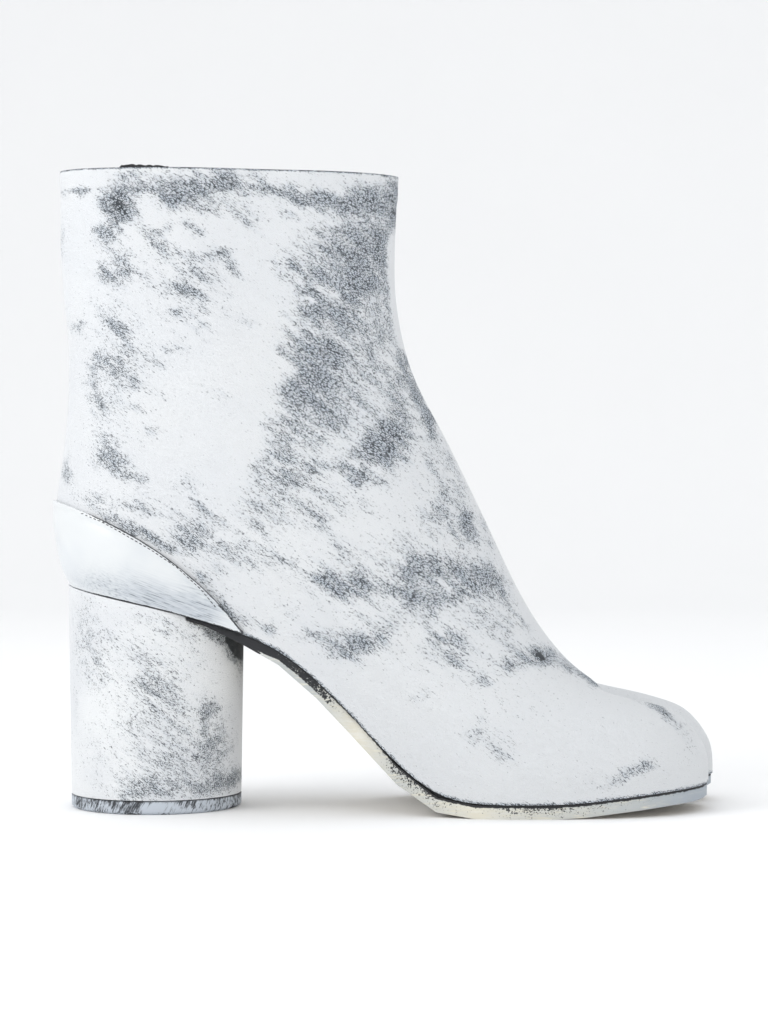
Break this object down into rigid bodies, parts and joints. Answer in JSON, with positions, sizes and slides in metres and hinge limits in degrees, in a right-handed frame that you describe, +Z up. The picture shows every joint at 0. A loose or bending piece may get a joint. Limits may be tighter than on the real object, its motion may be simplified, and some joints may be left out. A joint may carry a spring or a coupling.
{
  "type": "split-toe heeled ankle boot",
  "caption": "Split-toe ankle boot for the right foot, white cracked paint over dark leather, on a tall round block heel; hollow shaft open at the collar.",
  "frame": {"origin": "centre of the heel's floor face", "axes": "+X towards the toes, +Y towards the inner side of the foot, +Z up"},
  "size_m": [0.2415, 0.0846, 0.2341],
  "materials": {
    "painted_leather": "cracked matt paint over dark leather",
    "counter_leather": "smooth satin paint",
    "sole_leather": "worn edge paint",
    "insole_leather": "natural, unpainted",
    "dark_leather": "napped, unpainted",
    "heel_rubber": "brushed with thin paint"
  },
  "bodies": {
    "root": {"upper": "painted_leather", "heel_counter": "counter_leather", "closure_flap": "painted_leather", "closure_underlap": "dark_leather", "outsole": "sole_leather", "insole": "insole_leather", "heel_block": "painted_leather", "heel_top_piece": "heel_rubber"}
  },
  "joints": []
}
